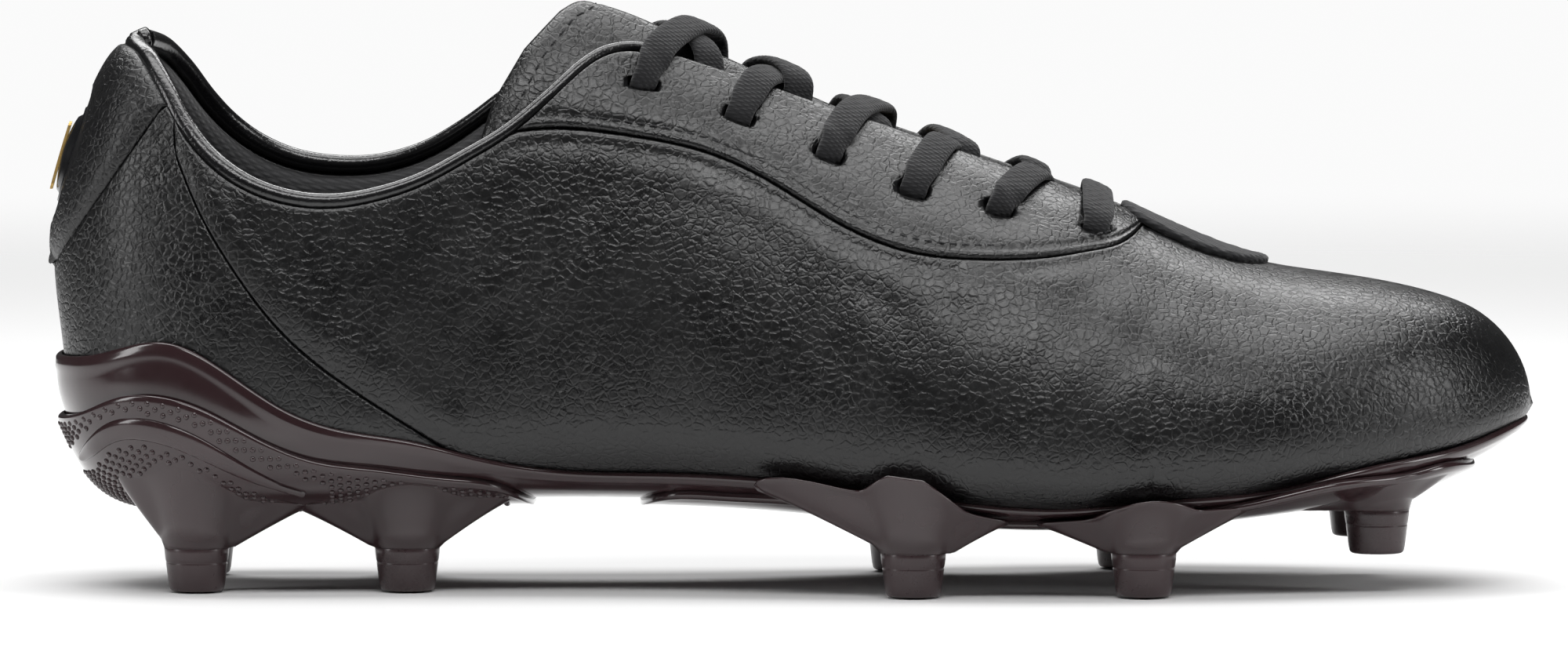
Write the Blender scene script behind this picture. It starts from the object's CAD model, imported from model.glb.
import math
import random

import bmesh
import bpy
import numpy as np
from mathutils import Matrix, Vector


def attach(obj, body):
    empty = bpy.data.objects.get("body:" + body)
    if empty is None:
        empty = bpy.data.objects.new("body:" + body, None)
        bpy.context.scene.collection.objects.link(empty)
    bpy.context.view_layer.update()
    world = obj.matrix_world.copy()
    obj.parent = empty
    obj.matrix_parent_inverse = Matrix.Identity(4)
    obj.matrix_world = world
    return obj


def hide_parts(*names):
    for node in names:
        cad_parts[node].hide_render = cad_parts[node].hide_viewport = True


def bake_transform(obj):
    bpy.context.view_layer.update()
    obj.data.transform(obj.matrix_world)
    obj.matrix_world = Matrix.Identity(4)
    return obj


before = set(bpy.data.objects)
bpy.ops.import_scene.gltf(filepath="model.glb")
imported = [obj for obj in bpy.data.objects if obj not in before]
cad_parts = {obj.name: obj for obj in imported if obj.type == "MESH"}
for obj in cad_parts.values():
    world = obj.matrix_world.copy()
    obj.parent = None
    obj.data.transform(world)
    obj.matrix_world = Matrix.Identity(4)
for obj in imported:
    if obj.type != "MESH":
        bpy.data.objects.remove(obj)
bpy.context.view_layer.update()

random.seed(7)
rng = np.random.default_rng(7)

# Soccer cleat, right foot, in metres in the row frame. The shapes below are worked out in
# millimetres in the layout of the part (heel at x = 0, ground at z = 0) and moved by metres().
LENGTH = 283.7
HALF = LENGTH / 2
ORIGIN = np.array([141.8, -0.45, 0.0])


def metres(points):
    return (np.asarray(points, float) - ORIGIN) / 1000


# ---- the last, as in the part ----
def angle_of(x):
    return np.arccos(np.clip(1 - 2 * np.asarray(x, float) / LENGTH, -1, 1))


def plain(x):
    return np.asarray(x, float)


def smooth(points, parameter=angle_of):
    """A vectorised function of x: the natural cubic spline through (x, value) points."""
    t = parameter(np.array([p[0] for p in points]))
    v = np.array([p[1] for p in points], float)
    step = np.diff(t)
    count = len(t)
    matrix, right = np.eye(count), np.zeros(count)
    for i in range(1, count - 1):
        matrix[i, i - 1:i + 2] = step[i - 1], 2 * (step[i - 1] + step[i]), step[i]
        right[i] = 6 * ((v[i + 1] - v[i]) / step[i] - (v[i] - v[i - 1]) / step[i - 1])
    bend = np.linalg.solve(matrix, right)

    def value_at(x):
        q = np.clip(parameter(x), t[0], t[-1])
        i = np.clip(np.searchsorted(t, q) - 1, 0, count - 2)
        a, b = (t[i + 1] - q) / step[i], (q - t[i]) / step[i]
        cubic = (a**3 - a) * bend[i] + (b**3 - b) * bend[i + 1]
        return a * v[i] + b * v[i + 1] + cubic * step[i] ** 2 / 6

    return value_at


CENTRE_Y = smooth([(0, 0), (100, 0), (200, 1.5), (LENGTH, 4)])
LATERAL_HALF = smooth([(0, 0), (10, 21.5), (35, 33.5), (60, 34.5), (90, 34.5), (120, 37.5), (150, 43.5),
                       (175, 48), (195, 49.5), (215, 47.8), (235, 43.4), (252, 37), (264, 30), (273, 22.5),
                       (279, 15), (LENGTH, 0)])
MEDIAL_HALF = smooth([(0, 0), (10, 21.5), (35, 32.5), (60, 31.5), (90, 30), (120, 31), (150, 35),
                      (175, 41), (195, 44.5), (210, 45.5), (225, 44.5), (240, 41), (254, 35), (265, 28),
                      (274, 20.5), (279.5, 13.5), (LENGTH, 0)])
BOTTOM = smooth([(0, 62), (0.5, 54), (1.3, 47.5), (2.55, 39), (5, 32), (8, 26), (13.8, 20), (24, 17.5),
                 (60, 17.6), (100, 18.2), (140, 16.8), (165, 14.6), (190, 13.6), (208, 14), (225, 15.4),
                 (240, 17.2), (252, 18.9), (262, 21.2), (269, 24), (275, 27), (280, 30), (LENGTH, 33.8)])
WIDEST = smooth([(0, 62), (4, 52), (15, 43), (35, 38), (100, 36), (150, 33), (190, 29), (230, 29),
                 (260, 31), (LENGTH, 33.8)])
RIDGE = smooth([(0, 62), (1.5, 73.5), (3, 81), (7.2, 91.5), (13.4, 104), (18, 108.5), (30, 115), (50, 118.5),
                (70, 119), (90, 117), (100, 114.8), (110, 111.3), (120, 106.6), (135, 99.8), (150, 93.4),
                (165, 87.7), (178, 82.8), (190, 78.4), (200, 74.2), (210, 69.6), (220, 65.2), (230, 61.8),
                (242, 59.7), (254, 58), (266, 55.2), (273, 52.2), (279, 46.8), (LENGTH, 33.8)])
LATERAL_POWER = smooth([(0, 2.0), (60, 2.0), (110, 1.95), (150, 1.85), (200, 1.8), (230, 1.95), (255, 2.1),
                        (LENGTH, 2.2)], plain)
MEDIAL_POWER = smooth([(0, 2.0), (60, 2.05), (110, 2.3), (150, 2.0), (200, 1.85), (230, 1.95), (255, 2.1),
                       (LENGTH, 2.2)], plain)
LOWER_POWER = smooth([(0, 2.4), (50, 3.0), (110, 2.5), (170, 3.0), (240, 2.8), (LENGTH, 2.2)], plain)
TONGUE_LIFT = smooth([(0, 4.6), (95, 4.6), (125, 5.8), (150, 6.0), (178, 5.4), (195, 4.0), (207, 2.8),
                      (LENGTH, 2.6)], plain)
TONGUE_PEAK = 0.42
ROUNDING = 12.0

# The ten curves sampled once on an even grid of the station angle, so that each lookup is quick.
SAMPLES = 6000
grid_x = HALF * (1 - np.cos(np.linspace(0, math.pi, SAMPLES)))
CURVES = np.stack([f(grid_x) for f in (CENTRE_Y, LATERAL_HALF, MEDIAL_HALF, BOTTOM, WIDEST, RIDGE,
                                       LATERAL_POWER, MEDIAL_POWER, LOWER_POWER, TONGUE_LIFT)], -1)


def curves_at(s):
    q = angle_of(s) * ((SAMPLES - 1) / math.pi)
    i = np.clip(q.astype(int), 0, SAMPLES - 2)
    f = (q - i)[..., None]
    return np.moveaxis(CURVES[i] * (1 - f) + CURVES[i + 1] * f, -1, 0)


def shrink(size, inset):
    return size * (1 - inset / np.hypot(size, ROUNDING))


def level(p, inset, tongue=0):
    """Below 0 inside the inset last, above 0 outside it."""
    x, y, z = p[..., 0], p[..., 1], p[..., 2]
    s = HALF + (x - HALF) * HALF / (HALF - inset)
    beyond = np.maximum(0, np.maximum(-s, s - LENGTH))
    cy, lat, med, bottom, wide, ridge, pl, pm, low, lift = curves_at(np.clip(s, 0.02, LENGTH - 0.02))
    across = y - cy
    half = np.maximum(0.05, shrink(np.where(across > 0, med, lat), inset))
    up = z > wide
    rise = np.where(up, shrink(ridge - wide, inset - tongue * lift), shrink(wide - bottom, inset))
    power = np.where(up, np.where(across > 0, pm, pl) - TONGUE_PEAK * tongue, low)
    a = np.minimum(np.abs(across) / half, 30)
    b = np.minimum(np.abs(z - wide) / np.maximum(0.05, rise), 30)
    return a**power + b**power - 1 + beyond


def normals_of(p, inset, tongue=0, step=0.05):
    out = np.empty_like(p)
    for k in range(3):
        d = np.zeros(3)
        d[k] = step
        out[..., k] = level(p + d, inset, tongue) - level(p - d, inset, tongue)
    return out / np.maximum(1e-12, np.linalg.norm(out, axis=-1, keepdims=True))


# A column is a half plane standing on the sole: round the heel they fan out from HEEL_AXIS, then run
# along the boot, and round the toe they fan out from TOE_AXIS. w counts the columns in millimetres.
HEEL_AXIS, TOE_AXIS = 38.0, 210.0
W_HEEL = 60.0
W_TOE = W_HEEL + TOE_AXIS - HEEL_AXIS
W_END = W_TOE + 110.0


def column_of(w, side):
    w = np.asarray(w, float)
    ox = np.clip(HEEL_AXIS + w - W_HEEL, HEEL_AXIS, TOE_AXIS)
    turn = np.where(w < W_HEEL, math.pi - w / W_HEEL * math.pi / 2,
                    math.pi / 2 * (1 - np.clip((w - W_TOE) / (W_END - W_TOE), 0, 1)))
    start = np.stack([ox, CENTRE_Y(ox), np.interp(ox, [38, 100, 200], [46, 38, 30])], -1)
    return start, np.cos(turn), side * np.sin(turn)


def w_at(x):
    """Column number of a place along the straight part."""
    return W_HEEL + x - HEEL_AXIS


def cast(w, side, theta, inset, tongue=0):
    """Points where rays at elevation theta in columns w meet the inset last."""
    w, side, theta, inset = np.broadcast_arrays(*(np.asarray(a, float) for a in (w, side, theta, inset)))
    start, dx, dy = column_of(w, side)
    ray = np.stack([np.cos(theta) * dx, np.cos(theta) * dy, np.sin(theta)], -1)
    low, high = np.zeros(w.shape), np.full(w.shape, 150.0)
    for _ in range(24):
        middle = (low + high) / 2
        inside = level(start + ray * middle[..., None], inset, tongue) < 0
        low = np.where(inside, middle, low)
        high = np.where(inside, high, middle)
    return start + ray * high[..., None]


def turn_to(w, side, low, high, cut, inset, tongue=0, rounds=22):
    """The elevation, between low and high, at which cut(points) turns true in each column."""
    low = np.broadcast_to(np.asarray(low, float), w.shape).copy()
    high = np.broadcast_to(np.asarray(high, float), w.shape).copy()
    for _ in range(rounds):
        middle = (low + high) / 2
        beyond = cut(cast(w, side, middle, inset, tongue))
        high = np.where(beyond, middle, high)
        low = np.where(beyond, low, middle)
    return (low + high) / 2


def run_along(p, axis=0):
    """Distance from the first point along an axis of a grid of points."""
    step = np.linalg.norm(np.diff(p, axis=axis), axis=-1)
    return np.concatenate([np.zeros_like(step.take([0], axis)), np.cumsum(step, axis)], axis)


def resample(w, side, low, high, inset, ends_low, ends_high, spacing):
    """Even rows between two elevations in every column, with given distances at both ends.

    Returns points (columns, rows, 3), their normals, and each row's distance from either end.
    """
    fine = np.linspace(0, 1, 90)
    theta = low[:, None] + (high - low)[:, None] * fine
    run = run_along(cast(w[:, None], side[:, None], theta, inset), 1)
    total = run[:, -1]
    rows = int(np.percentile(total, 90) / spacing)
    a, b = np.array(ends_low), np.array(ends_high)
    room = a[-1] + b[-1] + 2 * spacing
    fit = np.minimum(1, total / room)[:, None]
    first = a[None] * fit
    last_ones = total[:, None] - b[None, ::-1] * fit
    share = np.linspace(0, 1, rows + 2)[1:-1]
    middle = first[:, -1:] + (last_ones[:, :1] - first[:, -1:]) * share
    wanted = np.concatenate([first, middle, last_ones], 1)
    angle = np.stack([np.interp(wanted[i], run[i], theta[i]) for i in range(len(w))])
    points = cast(w[:, None], side[:, None], angle, inset)
    return points, normals_of(points, inset), wanted, total[:, None] - wanted


EDGE = (0, 0.02, 0.08, 0.2, 0.42, 0.8, 1.4, 2.1, 3.0)


def rolled(distance, radius):
    """How far an edge rolls in at a distance from it."""
    d = np.clip(distance / radius, 0, 1)
    return -radius * (1 - np.sqrt(np.maximum(0, 1 - (1 - d) ** 2)))


# ---- meshes ----
SAME_PLACE = 1e-7           # metres between vertices that are one


def new_object(name, vertices, faces, material, merge=0.0):
    """A mesh object from millimetre points."""
    mesh = bpy.data.meshes.new(name)
    mesh.from_pydata([tuple(v) for v in metres(vertices)], [], [tuple(int(i) for i in f) for f in faces])
    mesh.update()
    obj = bpy.data.objects.new(name, mesh)
    bpy.context.scene.collection.objects.link(obj)
    bm = bmesh.new()
    bm.from_mesh(mesh)
    bmesh.ops.remove_doubles(bm, verts=bm.verts, dist=max(merge, SAME_PLACE))
    bmesh.ops.dissolve_degenerate(bm, edges=bm.edges, dist=0.1 * SAME_PLACE)
    bmesh.ops.recalc_face_normals(bm, faces=bm.faces)
    bm.to_mesh(mesh)
    bm.free()
    mesh.polygons.foreach_set("use_smooth", [True] * len(mesh.polygons))
    mesh.materials.append(material)
    return obj


def ring_faces(total, ring, caps=True, offset=0):
    """Faces of a tube of closed rings, with both ends closed."""
    faces = []
    for i in range(total - 1):
        for j in range(ring):
            a, b = offset + i * ring + j, offset + i * ring + (j + 1) % ring
            faces.append((a, b, b + ring, a + ring))
    if caps:
        faces.append(tuple(offset + j for j in range(ring)))
        faces.append(tuple(offset + (total - 1) * ring + j for j in range(ring)))
    return faces


def grid_faces(rows, columns, offset=0, flip=False):
    i, j = np.meshgrid(np.arange(rows - 1), np.arange(columns - 1), indexing="ij")
    a = (i * columns + j).ravel() + offset
    f = np.stack([a, a + columns, a + columns + 1, a + 1], -1)
    return f[:, ::-1] if flip else f


def slab_mesh(outer, inner, ends=(True, True), sides=(True, True), skip=None):
    """A closed shell from an outer and an inner grid of points with the same numbering."""
    rows, columns = outer.shape[:2]
    count = rows * columns
    vertices = np.concatenate([outer.reshape(-1, 3), inner.reshape(-1, 3)])
    top, under = grid_faces(rows, columns), grid_faces(rows, columns, count, True)
    walls = []
    if skip is not None:
        keep = ~skip.ravel()
        top, under = top[keep], under[keep]
        for i, j in zip(*np.nonzero(skip)):
            a, d = i * columns + j, i * columns + j + 1
            b, c = a + columns, d + columns
            around = ((i - 1, j, d, a), (i + 1, j, b, c), (i, j - 1, a, b), (i, j + 1, c, d))
            walls += [(p, q, q + count, p + count) for ni, nj, p, q in around if not skip[ni, nj]]
    across, down = np.arange(columns), np.arange(rows) * columns
    for use, edge in zip(ends + sides, (across, across + down[-1], down, down + columns - 1)):
        if use:
            walls += [(p, q, q + count, p + count) for p, q in zip(edge, edge[1:])]
    faces = list(top) + list(under) + walls
    return vertices, faces


def round_toe(w):
    """Columns of both sides in one run, from the lateral side round the toe to the medial side."""
    return np.concatenate([w, w[-2::-1]]), np.concatenate([-np.ones(len(w)), np.ones(len(w) - 1)])


def round_heel(w):
    """Columns of both sides in one run, from the medial side round the heel to the lateral side."""
    return np.concatenate([w[::-1], w[1:]]), np.concatenate([np.ones(len(w)), -np.ones(len(w) - 1)])


def spaced(start, end, spacing):
    return np.linspace(start, end, int((end - start) / spacing))


# ---- seam lines seen from the side, as in the part ----
def line(points):
    px, pz = np.array(points, float).T
    f = smooth(points, plain)
    return lambda x: np.where(x < px[0], pz[0], np.where(x > px[-1], pz[-1], f(np.clip(x, px[0], px[-1]))))


COLLAR_LATERAL = [(13.5, 106.6), (17, 105.4), (20.3, 101.8), (24.2, 95.6), (27.7, 89.6), (32.4, 84),
                  (39.3, 79.3), (47.3, 76.7), (55, 76.2), (62.5, 77.4), (70.3, 79.9), (79, 84.4),
                  (86.5, 88.8), (94.4, 95.2), (100.7, 100.8), (105.5, 103.6), (111.2, 104.4), (117, 103.2)]
COLLAR_MEDIAL = [(13.5, 106.6), (18, 106.4), (22, 104), (26, 99.4), (30, 93.6), (34, 89),
                 (39.5, 84.8), (46, 82), (54, 80.8), (62, 81.2), (70.3, 83.7), (78, 88.2),
                 (86, 94.2), (94, 99.8), (100.7, 103.6), (105.5, 105.2), (111.2, 105), (117, 103.2)]
THROAT = [(94, 15), (108, 15), (120, 13.4), (135, 11.8), (150, 10.6), (165, 9.6), (180, 8.6), (192, 7.2),
          (201, 5.2), (206, 2.8), (208, 0)]
RIM_LINE = [(-12, 43.8), (1.05, 44.1), (8.9, 45.3), (15.8, 47.3), (22.7, 47.9), (33.1, 43.2), (45.2, 35.4),
            (56, 31.4), (69.2, 29), (82.8, 25), (100, 22), (119.6, 21.6), (141.2, 20.5), (165.7, 17.6),
            (192.5, 15.3), (213, 17.2), (233.7, 18.9), (250, 22.9), (262, 25), (272, 27), (282.3, 30.6),
            (292, 33)]
HEEL_LIP = [(-8, 31), (5.4, 33.8), (12, 36.9), (20, 37.9), (29.6, 35.5), (40, 30), (50, 25.6), (62, 23.6),
            (76, 21.5), (90, 17.5), (96, 12)]
FOREFOOT_LIP = [(108, 12), (114.4, 16.6), (127, 18), (140, 17.6), (162.5, 15), (185, 12.8), (207.7, 14.4),
                (230.3, 17.4), (245, 20.9), (260.4, 22.3), (270, 23.6), (278, 20)]
EYESTAY_SEAM = [(82, 86.5), (94.4, 88.4), (109.7, 87.2), (124, 84.3), (136, 79.2), (150, 70.9),
                (162, 65.9), (176.6, 64), (190, 64.2), (200, 65.5), (206, 67.3), (209.5, 69.9)]
HEEL_SEAM = [(24, 84), (28, 74.5), (34, 64), (42, 53), (52, 43.5), (62, 36.5), (72, 30), (80, 24), (86, 18)]
EYELETS = ((113.3, 96.6), (131.3, 90.2), (148.6, 83.2), (164.6, 76.6), (181, 73), (199.5, 69))

rim_z, heel_lip_z, fore_lip_z = line(RIM_LINE), line(HEEL_LIP), line(FOREFOOT_LIP)
eyestay_z, heel_seam_z = line(EYESTAY_SEAM), line(HEEL_SEAM)
throat_half = line(THROAT)


def piping_radius(x):
    return 2.0 + np.clip((np.asarray(x) - 30) / 70, 0, 1) * (1.25 - 2.0)


def shifted(points, distances):
    p = np.array(points, float)
    d = np.empty_like(p)
    d[1:-1] = p[2:] - p[:-2]
    d[0], d[-1] = p[1] - p[0], p[-1] - p[-2]
    d /= np.linalg.norm(d, axis=1, keepdims=True)
    return p + np.array(distances)[:, None] * np.stack([d[:, 1], -d[:, 0]], 1)


SEATS = {}
for side, collar in ((-1, COLLAR_LATERAL), (1, COLLAR_MEDIAL)):
    seat = shifted(collar, [1.55 * piping_radius(x) for x, _ in collar])
    SEATS[side] = line([tuple(q) for q in seat])


def above_collar(p, drop=0.0):
    x, z = p[..., 0], p[..., 2]
    seat = np.where(p[..., 1] < 0, SEATS[-1](x), SEATS[1](x)) - drop
    return (z > seat) & (x < 118)


def in_throat(p, grow=0.0):
    x = p[..., 0]
    return (np.abs(p[..., 1] - CENTRE_Y(x)) < throat_half(x) + grow) & (x > 92) & (x < 208) & (p[..., 2] > 50)


def above_eyestay_seam(p, raise_by=0.0):
    x = p[..., 0]
    return (p[..., 2] > eyestay_z(x) + raise_by) & (x > 82) & (x < 209.5)


def above_tab_seam(p):
    return p[..., 2] > 50.5 + (p[..., 0] + 8) * (104 - 50.5) / 38


# ---- materials ----
class Nodes:
    """A small help for building a node material."""

    def __init__(self, name):
        self.material = bpy.data.materials.new(name)
        self.material.use_nodes = True
        self.tree = self.material.node_tree
        self.shader = self.tree.nodes["Principled BSDF"]
        self.place = self.tree.nodes.new("ShaderNodeTexCoord").outputs["Object"]

    def set(self, **values):
        for key, value in values.items():
            self.shader.inputs[key.replace("_", " ")].default_value = value

    def add(self, kind, inputs=None, **settings):
        node = self.tree.nodes.new("ShaderNode" + kind)
        for key, value in settings.items():
            setattr(node, key, value)
        for key, value in (inputs or {}).items():
            if isinstance(value, bpy.types.NodeSocket):
                self.tree.links.new(value, node.inputs[key])
            else:
                node.inputs[key].default_value = value
        return node

    def link(self, output, name):
        self.tree.links.new(output, self.shader.inputs[name])

    def noise(self, scale, detail=3.0, rough=0.55, vector=None):
        node = self.add("TexNoise", {"Vector": vector or self.place, "Scale": scale, "Detail": detail,
                                     "Roughness": rough})
        return node.outputs["Fac"]

    def cells(self, scale, feature="F1", vector=None):
        node = self.add("TexVoronoi", {"Vector": vector or self.place, "Scale": scale}, feature=feature)
        return node.outputs["Distance"]

    def math(self, operation, a, b=0.0, c=0.0):
        return self.add("Math", {0: a, 1: b, 2: c}, operation=operation).outputs[0]

    def weighed(self, a, share, b):
        return self.math("MULTIPLY_ADD", a, share, self.math("MULTIPLY", b, 1 - share))

    def ramp(self, value, low, high, out_low, out_high):
        return self.add("MapRange", {"Value": value, "From Min": low, "From Max": high, "To Min": out_low,
                                     "To Max": out_high}).outputs["Result"]

    def mix(self, factor, a, b):
        return self.add("MixRGB", {"Fac": factor, "Color1": a, "Color2": b}).outputs["Color"]

    def bump(self, height, strength, distance, normal=None):
        inputs = {"Height": height, "Strength": strength, "Distance": distance}
        if normal is not None:
            inputs["Normal"] = normal
        return self.add("Bump", inputs).outputs["Normal"]


def rgb(r, g, b):
    return (r, g, b, 1.0)


def leather(name, colour, light, rough=(0.24, 0.40), grain=1.0, coat=0.12):
    n = Nodes(name)
    sway = n.add("TexNoise", {"Vector": n.place, "Scale": 420.0, "Detail": 2.0}).outputs["Color"]
    bent = n.add("MixRGB", {"Fac": 0.0016, "Color1": n.place, "Color2": sway}, blend_type="ADD")
    bent = bent.outputs["Color"]
    pebble = n.cells(1150, "SMOOTH_F1", bent)
    pores = n.cells(620, "DISTANCE_TO_EDGE", bent)
    fine = n.noise(3200, 3)
    broad = n.noise(60, 4)
    wrinkle = n.noise(330, 6, 0.7, bent)
    patchy = n.ramp(n.noise(38, 3), 0.38, 0.62, 0.6, 1.0)
    n.link(n.mix(n.ramp(broad, 0.35, 0.7, 0, 1), rgb(*colour), rgb(*light)), "Base Color")
    n.link(n.ramp(n.weighed(wrinkle, 0.6, broad), 0.35, 0.65, *rough), "Roughness")
    b1 = n.bump(n.math("MULTIPLY", n.ramp(pores, 0, 0.16, 0, 1), patchy), 0.50 * grain, 0.00016)
    b2 = n.bump(n.math("MULTIPLY", pebble, patchy), 0.45 * grain, 0.00022, b1)
    b3 = n.bump(fine, 0.20 * grain, 0.00008, b2)
    b4 = n.bump(wrinkle, 0.24 * grain, 0.0005, b3)
    n.link(b4, "Normal")
    n.set(Coat_Weight=coat, Coat_Roughness=0.25, Specular_IOR_Level=0.5)
    return n.material


def knit(name, colour, light, scale=1500.0, sheen=0.25):
    n = Nodes(name)
    warp = n.add("TexWave", {"Vector": n.place, "Scale": scale / 6.3, "Distortion": 1.2, "Detail": 2.0},
                 bands_direction="DIAGONAL").outputs["Fac"]
    weft = n.add("TexWave", {"Vector": n.place, "Scale": scale / 6.3, "Distortion": 1.2, "Detail": 2.0},
                 bands_direction="Z").outputs["Fac"]
    both = n.math("MULTIPLY", warp, weft)
    fuzz = n.noise(3500, 3)
    broad = n.noise(90, 4)
    n.link(n.mix(n.weighed(both, 0.6, broad), rgb(*colour), rgb(*light)), "Base Color")
    n.link(n.ramp(fuzz, 0.3, 0.7, 0.72, 0.95), "Roughness")
    b1 = n.bump(both, 0.5, 0.0003)
    n.link(n.bump(fuzz, 0.4, 0.0002, b1), "Normal")
    n.set(Sheen_Weight=sheen, Sheen_Roughness=0.5, Specular_IOR_Level=0.25)
    return n.material


def moulded(name, colour, light, rough=(0.12, 0.22), bump=0.12, coat=0.0, speck=400):
    n = Nodes(name)
    broad = n.noise(35, 4)
    fine = n.noise(speck, 4, 0.6)
    n.link(n.mix(n.ramp(broad, 0.35, 0.7, 0, 1), rgb(*colour), rgb(*light)), "Base Color")
    n.link(n.ramp(n.weighed(fine, 0.5, broad), 0.35, 0.65, *rough), "Roughness")
    b1 = n.bump(broad, bump, 0.0008)
    n.link(n.bump(fine, bump, 0.00012, b1), "Normal")
    n.set(Coat_Weight=coat, Coat_Roughness=0.08, Specular_IOR_Level=0.5)
    return n.material


UPPER = leather("upper_leather_mat", (0.0026, 0.0026, 0.0029), (0.0055, 0.0055, 0.0057))
TAB = leather("tab_leather_mat", (0.004, 0.004, 0.0045), (0.007, 0.007, 0.0075), (0.30, 0.44), 1.1, 0.08)
PIPING = leather("piping_mat", (0.0035, 0.0035, 0.004), (0.006, 0.006, 0.0065), (0.16, 0.26), 0.35, 0.4)
LINING = knit("lining_mat", (0.012, 0.012, 0.013), (0.03, 0.03, 0.032))
TONGUE = knit("tongue_mat", (0.010, 0.010, 0.011), (0.026, 0.026, 0.028), 1900, 0.2)
SOCK = knit("sockliner_mat", (0.02, 0.02, 0.022), (0.045, 0.045, 0.05), 1300)
LACE = knit("lace_mat", (0.006, 0.006, 0.0068), (0.020, 0.020, 0.022), 2600, 0.18)
SOLE = moulded("sole_mat", (0.024, 0.0115, 0.0130), (0.034, 0.0175, 0.0195), (0.13, 0.22), 0.05, 0.4)
STUD = moulded("stud_mat", (0.026, 0.0135, 0.0150), (0.040, 0.022, 0.0245), (0.24, 0.36), 0.12, 0.1, 900)
BADGE = moulded("badge_mat", (0.006, 0.006, 0.007), (0.009, 0.009, 0.010), (0.14, 0.24), 0.1, 0.4)
GOLD = moulded("gold_mat", (0.42, 0.27, 0.085), (0.55, 0.37, 0.13), (0.28, 0.42), 0.1)
GOLD.node_tree.nodes["Principled BSDF"].inputs["Metallic"].default_value = 0.75
THREAD = knit("thread_mat", (0.012, 0.012, 0.013), (0.03, 0.03, 0.032), 4000, 0.2)
HIDDEN = moulded("hidden_mat", (0.03, 0.03, 0.03), (0.05, 0.05, 0.05), (0.5, 0.7), 0.3)


def place_piece(obj, body="boot", nodes=()):
    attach(obj, body)
    if nodes:
        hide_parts(*nodes)
    return obj


# ---- upper panels ----
def creases(p):
    """Flex creases of the worn-in leather: shallow folds over the toe joint and below the collar."""
    x, y, z = p[..., 0], p[..., 1], p[..., 2]
    out = np.zeros(x.shape)
    # Folds fan up the side where the forefoot bends.
    for i, (cx, cz, lean, depth, reach, width) in enumerate((
            (176, 40, 0.30, 0.42, 20, 5.0), (186, 42, 0.16, 0.34, 18, 4.2), (197, 44, 0.05, 0.40, 18, 4.6),
            (207, 42, -0.10, 0.30, 16, 4.0), (165, 44, 0.5, 0.30, 16, 4.4), (84, 66, -0.55, 0.30, 13, 3.6),
            (92, 60, -0.65, 0.34, 14, 3.8), (75, 64, -0.45, 0.26, 12, 3.4), (101, 66, -0.5, 0.24, 12, 3.6),
            (66, 58, -0.4, 0.22, 11, 3.2), (150, 48, 0.62, 0.26, 15, 4.6))):
        u = (x - cx) + lean * (z - cz) + 1.6 * np.sin(z * 0.33 + i * 1.7)
        fall = np.exp(-((z - cz) / reach) ** 2)
        out += depth * fall * (0.5 * np.exp(-((u - 1.9 * width) / width) ** 2) - np.exp(-(u / width) ** 2))
    # Broad, slow unevenness of the leather over the foam.
    out += 0.16 * np.sin(x * 0.09 + 0.6 * np.sin(z * 0.08)) * np.sin(z * 0.12 + y * 0.05)
    return out


TUCKED = 3.0                # how far the leather goes on down behind the sole's rim
LOWEST, STRAIGHT_UP = -1.4, math.pi / 2


def panel(name, w, side, low_cut, high_cut, thickness, spacing=1.6, height=None, material=UPPER,
          nodes=(), side_roll=None, holes=(), radius=0.8):
    """A leather panel between two seams, with rolled edges, its own relief and punched holes."""
    low = turn_to(w, side, LOWEST, STRAIGHT_UP, low_cut, 0.0)
    high = turn_to(w, side, LOWEST, STRAIGHT_UP, high_cut, 0.0)
    low = np.minimum(low, high)
    p, n, d_low, d_high = resample(w, side, low, high, 0.0, EDGE, EDGE, spacing)
    # Over the toe the columns of both sides meet, so there is no edge to roll.
    real = np.clip((212 - p[..., 0]) / 2, 0, 1)
    h = np.minimum(rolled(d_low, radius), rolled(d_high, radius) * real)
    if side_roll is not None:
        h = np.minimum(h, rolled(side_roll(p), radius))
    outer = p + n * (h + height(p, d_low, d_high))[..., None]
    inner = p - n * thickness
    skip = None
    if holes:
        outer, inner, skip = punch(outer, inner, p, n, holes)
    obj = new_object(name, *slab_mesh(outer, inner, skip=skip), material, merge=2e-6)
    place_piece(obj, "boot", nodes)


def punch(outer, inner, p, n, holes, hole_radius=2.9):
    """Warps the grids round each eyelet and leaves the squares inside it out."""
    rows, columns = p.shape[:2]
    skip = np.zeros((rows - 1, columns - 1), bool)
    for centre in holes:
        distance = np.linalg.norm(p - centre, axis=-1)
        i, j = np.unravel_index(np.argmin(distance), distance.shape)
        if distance[i, j] > 3:
            continue
        reach = 3
        i0, i1, j0, j1 = i - reach, i + reach, j - reach, j + reach
        if i0 < 1 or j0 < 1 or i1 >= rows - 1 or j1 >= columns - 1:
            continue
        m = n[i, j]
        t = p[i + 1, j] - p[i - 1, j]
        t = t - m * np.dot(t, m)
        t /= np.linalg.norm(t)
        b = np.cross(m, t)
        # Rings of the block are squared circles of growing radius; the outermost stays put.
        for ring in (1, 2):
            target = (0, hole_radius, hole_radius + 0.55)[ring]
            drop = (0, 0.75, 0.0)[ring]
            for a in range(-ring, ring + 1):
                for c in range(-ring, ring + 1):
                    if max(abs(a), abs(c)) != ring:
                        continue
                    q = p[i + a, j + c] - centre
                    u, v = np.dot(q, t), np.dot(q, b)
                    if abs(u) + abs(v) < 1e-6:
                        continue
                    f = target / math.hypot(u, v)
                    spot = centre + t * u * f + b * v * f
                    lift = np.dot(outer[i + a, j + c] - p[i + a, j + c], m)
                    away = np.dot(p[i + a, j + c] - centre, m)
                    outer[i + a, j + c] = spot + m * (away * f * 0.6 + lift - drop)
                    inner[i + a, j + c] = spot + m * (away * f * 0.6 - np.linalg.norm(inner[i, j] - p[i, j]))
        skip[i - 1:i + 1, j - 1:j + 1] = True
    return outer, inner, skip


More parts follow.
